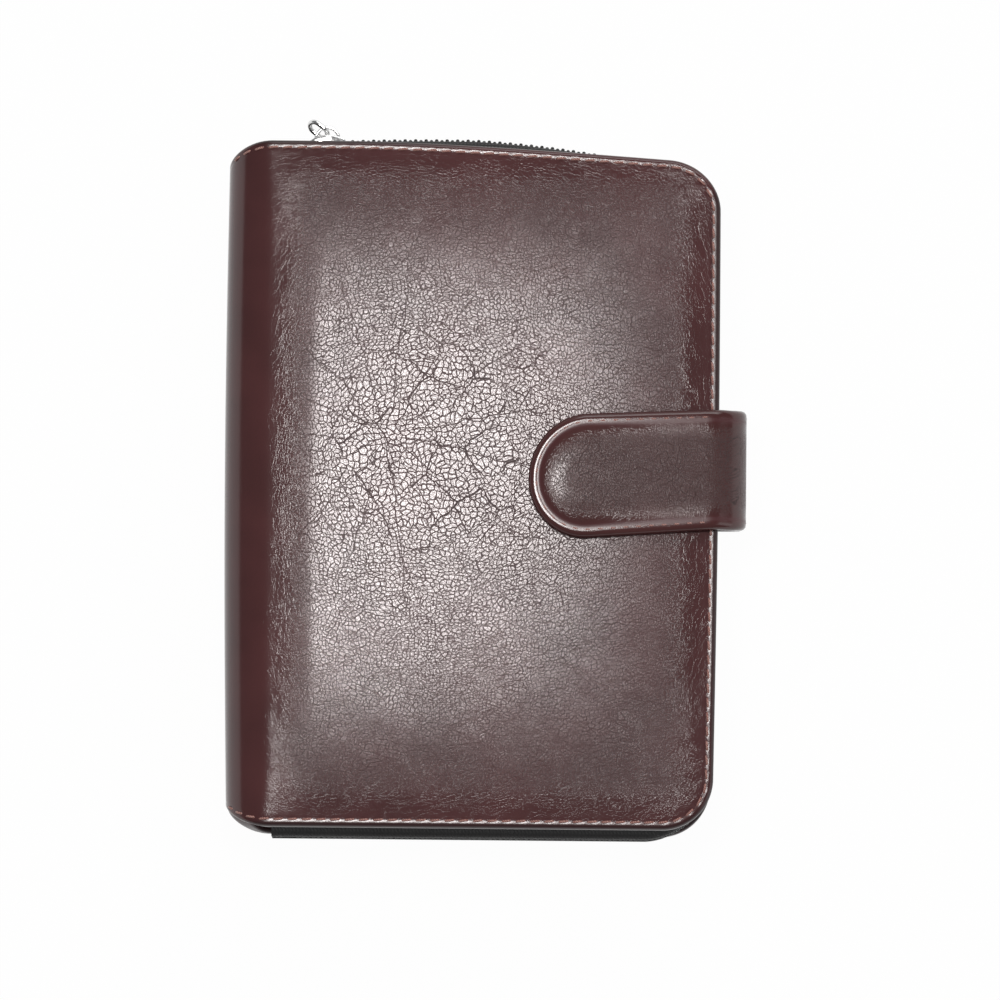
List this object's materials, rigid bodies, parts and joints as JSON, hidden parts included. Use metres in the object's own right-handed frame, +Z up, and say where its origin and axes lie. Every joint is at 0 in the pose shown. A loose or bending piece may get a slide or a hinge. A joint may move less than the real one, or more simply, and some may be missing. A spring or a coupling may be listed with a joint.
{
  "type": "zip-around planner",
  "caption": "Padded leather-look ring planner with rounded covers, a zip round the free sides, a snap strap over the fore edge, punched pages, dividers and inside pockets",
  "frame": {"origin": "The middle of the back cover's flat outer face, which the closed planner lies on.", "axes": "+X to the fore edge with the spine at -X, +Y to the top of the pages, +Z up through the front cover."},
  "size_m": [0.1437, 0.2014, 0.0458],
  "materials": {
    "leather": "glossy dark burgundy leather look with fine creased grain",
    "foam": "soft padding, hidden",
    "board": "grey board, hidden",
    "lining": "dark brown lining",
    "tape": "charcoal woven zip tape",
    "teeth": "black moulded teeth",
    "chrome": "bright plated metal",
    "paper": "cream page edges",
    "divider": "tan divider card",
    "card": "grey backing card",
    "pocket": "dark thin leather look"
  },
  "bodies": {
    "back_cover": {"back_leather": "leather", "back_foam": "foam", "back_board": "board", "back_lining": "lining", "zip_tape_back": "tape", "zip_teeth_back": "teeth", "zip_top_stop_back": "chrome", "zip_foot_stop_back": "chrome", "memo_card": "card", "memo_pad": "paper", "memo_pocket": "pocket"},
    "spine": {"spine_leather": "leather", "spine_board": "board", "spine_lining": "lining", "ring_shield": "chrome", "ring_rivet_top": "chrome", "ring_rivet_bottom": "chrome"},
    "front_cover": {"front_leather": "leather", "front_foam": "foam", "front_board": "board", "front_lining": "lining", "zip_tape_front": "tape", "zip_teeth_front": "teeth", "zip_top_stop_front": "chrome", "zip_foot_stop_front": "chrome", "front_pocket": "pocket", "card_slot_1": "pocket", "card_slot_2": "pocket", "card_slot_3": "pocket", "snap_stud": "chrome"},
    "front_pages": {"front_pages_inner": "paper", "front_tab_divider": "divider", "front_pages_outer": "paper"},
    "back_pages": {"back_pages_inner": "paper", "back_tab_divider": "divider", "back_pages_outer": "paper"},
    "ring_front": {"ring_half_front": "chrome"},
    "ring_back": {"ring_half_back": "chrome"},
    "trigger_top": {"trigger_top": "chrome"},
    "trigger_bottom": {"trigger_bottom": "chrome"},
    "zip_slider": {"zip_slider_body": "chrome"},
    "zip_pull": {"zip_pull": "chrome"},
    "strap_side": {"strap_side_leather": "leather", "strap_side_lining": "lining"},
    "strap_lap": {"strap_lap_leather": "leather", "strap_lap_lining": "lining", "snap_socket": "chrome"}
  },
  "joints": [
    {"name": "back_hinge", "type": "hinge", "parent": "back_cover", "child": "spine", "pos_m": [-0.06399, 0, 0.00351], "axis": [0, -1, 0], "range_deg": [0, 90]},
    {"name": "front_hinge", "type": "hinge", "parent": "spine", "child": "front_cover", "pos_m": [-0.06399, 0, 0.03649], "axis": [0, -1, 0], "range_deg": [0, 90], "deforming": ["strap_lap_leather", "strap_lap_lining", "snap_socket"]},
    {"name": "front_pages_turn", "type": "hinge", "parent": "spine", "child": "front_pages", "pos_m": [-0.0485, 0, 0.02], "axis": [0, -1, 0], "range_deg": [0, 90]},
    {"name": "back_pages_turn", "type": "hinge", "parent": "spine", "child": "back_pages", "pos_m": [-0.0485, 0, 0.02], "axis": [0, -1, 0], "range_deg": [-90, 0]},
    {"name": "trigger_top_press", "type": "hinge", "parent": "spine", "child": "trigger_top", "pos_m": [-0.0599, 0.0775, 0.02], "axis": [0, 0, 1], "range_deg": [0, 20]},
    {"name": "trigger_bottom_press", "type": "hinge", "parent": "spine", "child": "trigger_bottom", "pos_m": [-0.0599, -0.0775, 0.02], "axis": [0, 0, -1], "range_deg": [0, 20]},
    {"name": "ring_front_open", "type": "hinge", "parent": "spine", "child": "ring_front", "pos_m": [-0.0605, 0, 0.02], "axis": [0, -1, 0], "range_deg": [0, 5]},
    {"name": "ring_back_open", "type": "hinge", "parent": "spine", "child": "ring_back", "pos_m": [-0.0605, 0, 0.02], "axis": [0, 1, 0], "range_deg": [0, 5]},
    {"name": "zip_slide", "type": "slide", "parent": "back_cover", "child": "zip_slider", "axis": [0.999, 0.0455, 0], "range_m": [0, 0.0355], "deforming": ["zip_teeth_front", "zip_teeth_back"]},
    {"name": "zip_pull_swing", "type": "hinge", "parent": "zip_slider", "child": "zip_pull", "pos_m": [-0.04139, 0.09987, 0.02], "axis": [0, 0, 1], "range_deg": [-130, 30]},
    {"name": "strap_side_bend", "type": "hinge", "parent": "back_cover", "child": "strap_side", "pos_m": [0.0678, 0.0043, 0.0012], "axis": [0, 1, 0], "range_deg": [0, 28.75]},
    {"name": "strap_lap_lift", "type": "hinge", "parent": "strap_side", "child": "strap_lap", "pos_m": [0.07207, 0.0043, 0.04024], "axis": [0, 1, 0], "range_deg": [0, 115]}
  ],
  "couplings": [
    {"joint": "front_pages_turn", "follows": "front_hinge", "ratio": 1},
    {"joint": "back_pages_turn", "follows": "back_hinge", "ratio": -1},
    {"joint": "ring_back_open", "follows": "ring_front_open", "ratio": 1},
    {"joint": "trigger_top_press", "follows": "ring_front_open", "ratio": 4},
    {"joint": "trigger_bottom_press", "follows": "ring_front_open", "ratio": 4},
    {"joint": "strap_side_bend", "follows": "strap_lap_lift", "ratio": 0.25}
  ]
}
